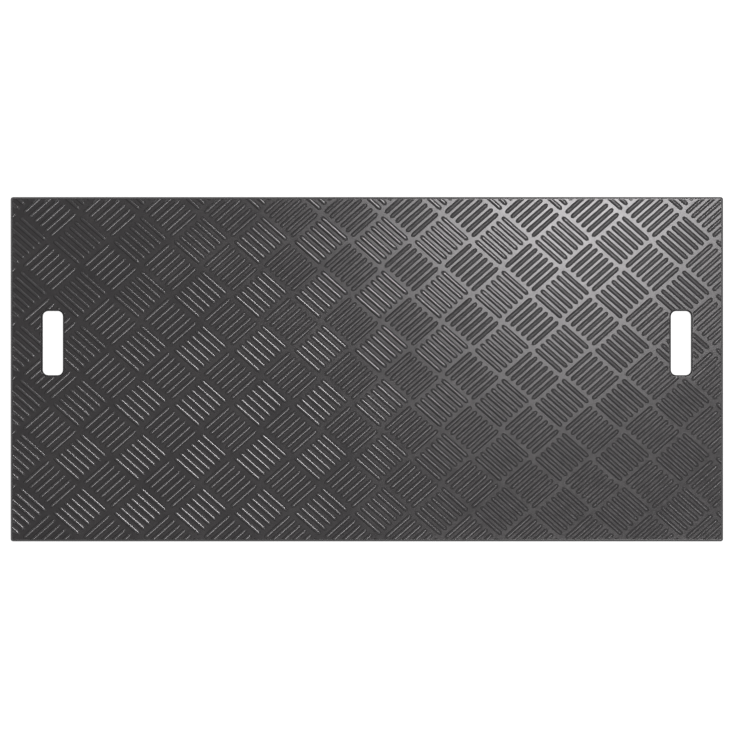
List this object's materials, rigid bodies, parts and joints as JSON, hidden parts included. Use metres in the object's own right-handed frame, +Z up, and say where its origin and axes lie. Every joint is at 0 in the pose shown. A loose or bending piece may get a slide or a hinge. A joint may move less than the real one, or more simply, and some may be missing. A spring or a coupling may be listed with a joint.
{
  "type": "ground protection mat",
  "caption": "Flat plastic ground protection mat with a ribbed tread and a hand hole at each end, laid down to carry feet and wheels over soft ground.",
  "frame": {"origin": "middle of the flat underside", "axes": "+X along the mat's length, +Y across it towards the long edge that the hand holes are nearer to, +Z up out of the tread"},
  "size_m": [1.2, 0.58, 0.012],
  "materials": {
    "recycled_plastic": "moulded charcoal black recycled polyethylene, satin, with light scuffs on the tread"
  },
  "bodies": {
    "root": {"mat": "recycled_plastic"}
  },
  "joints": []
}
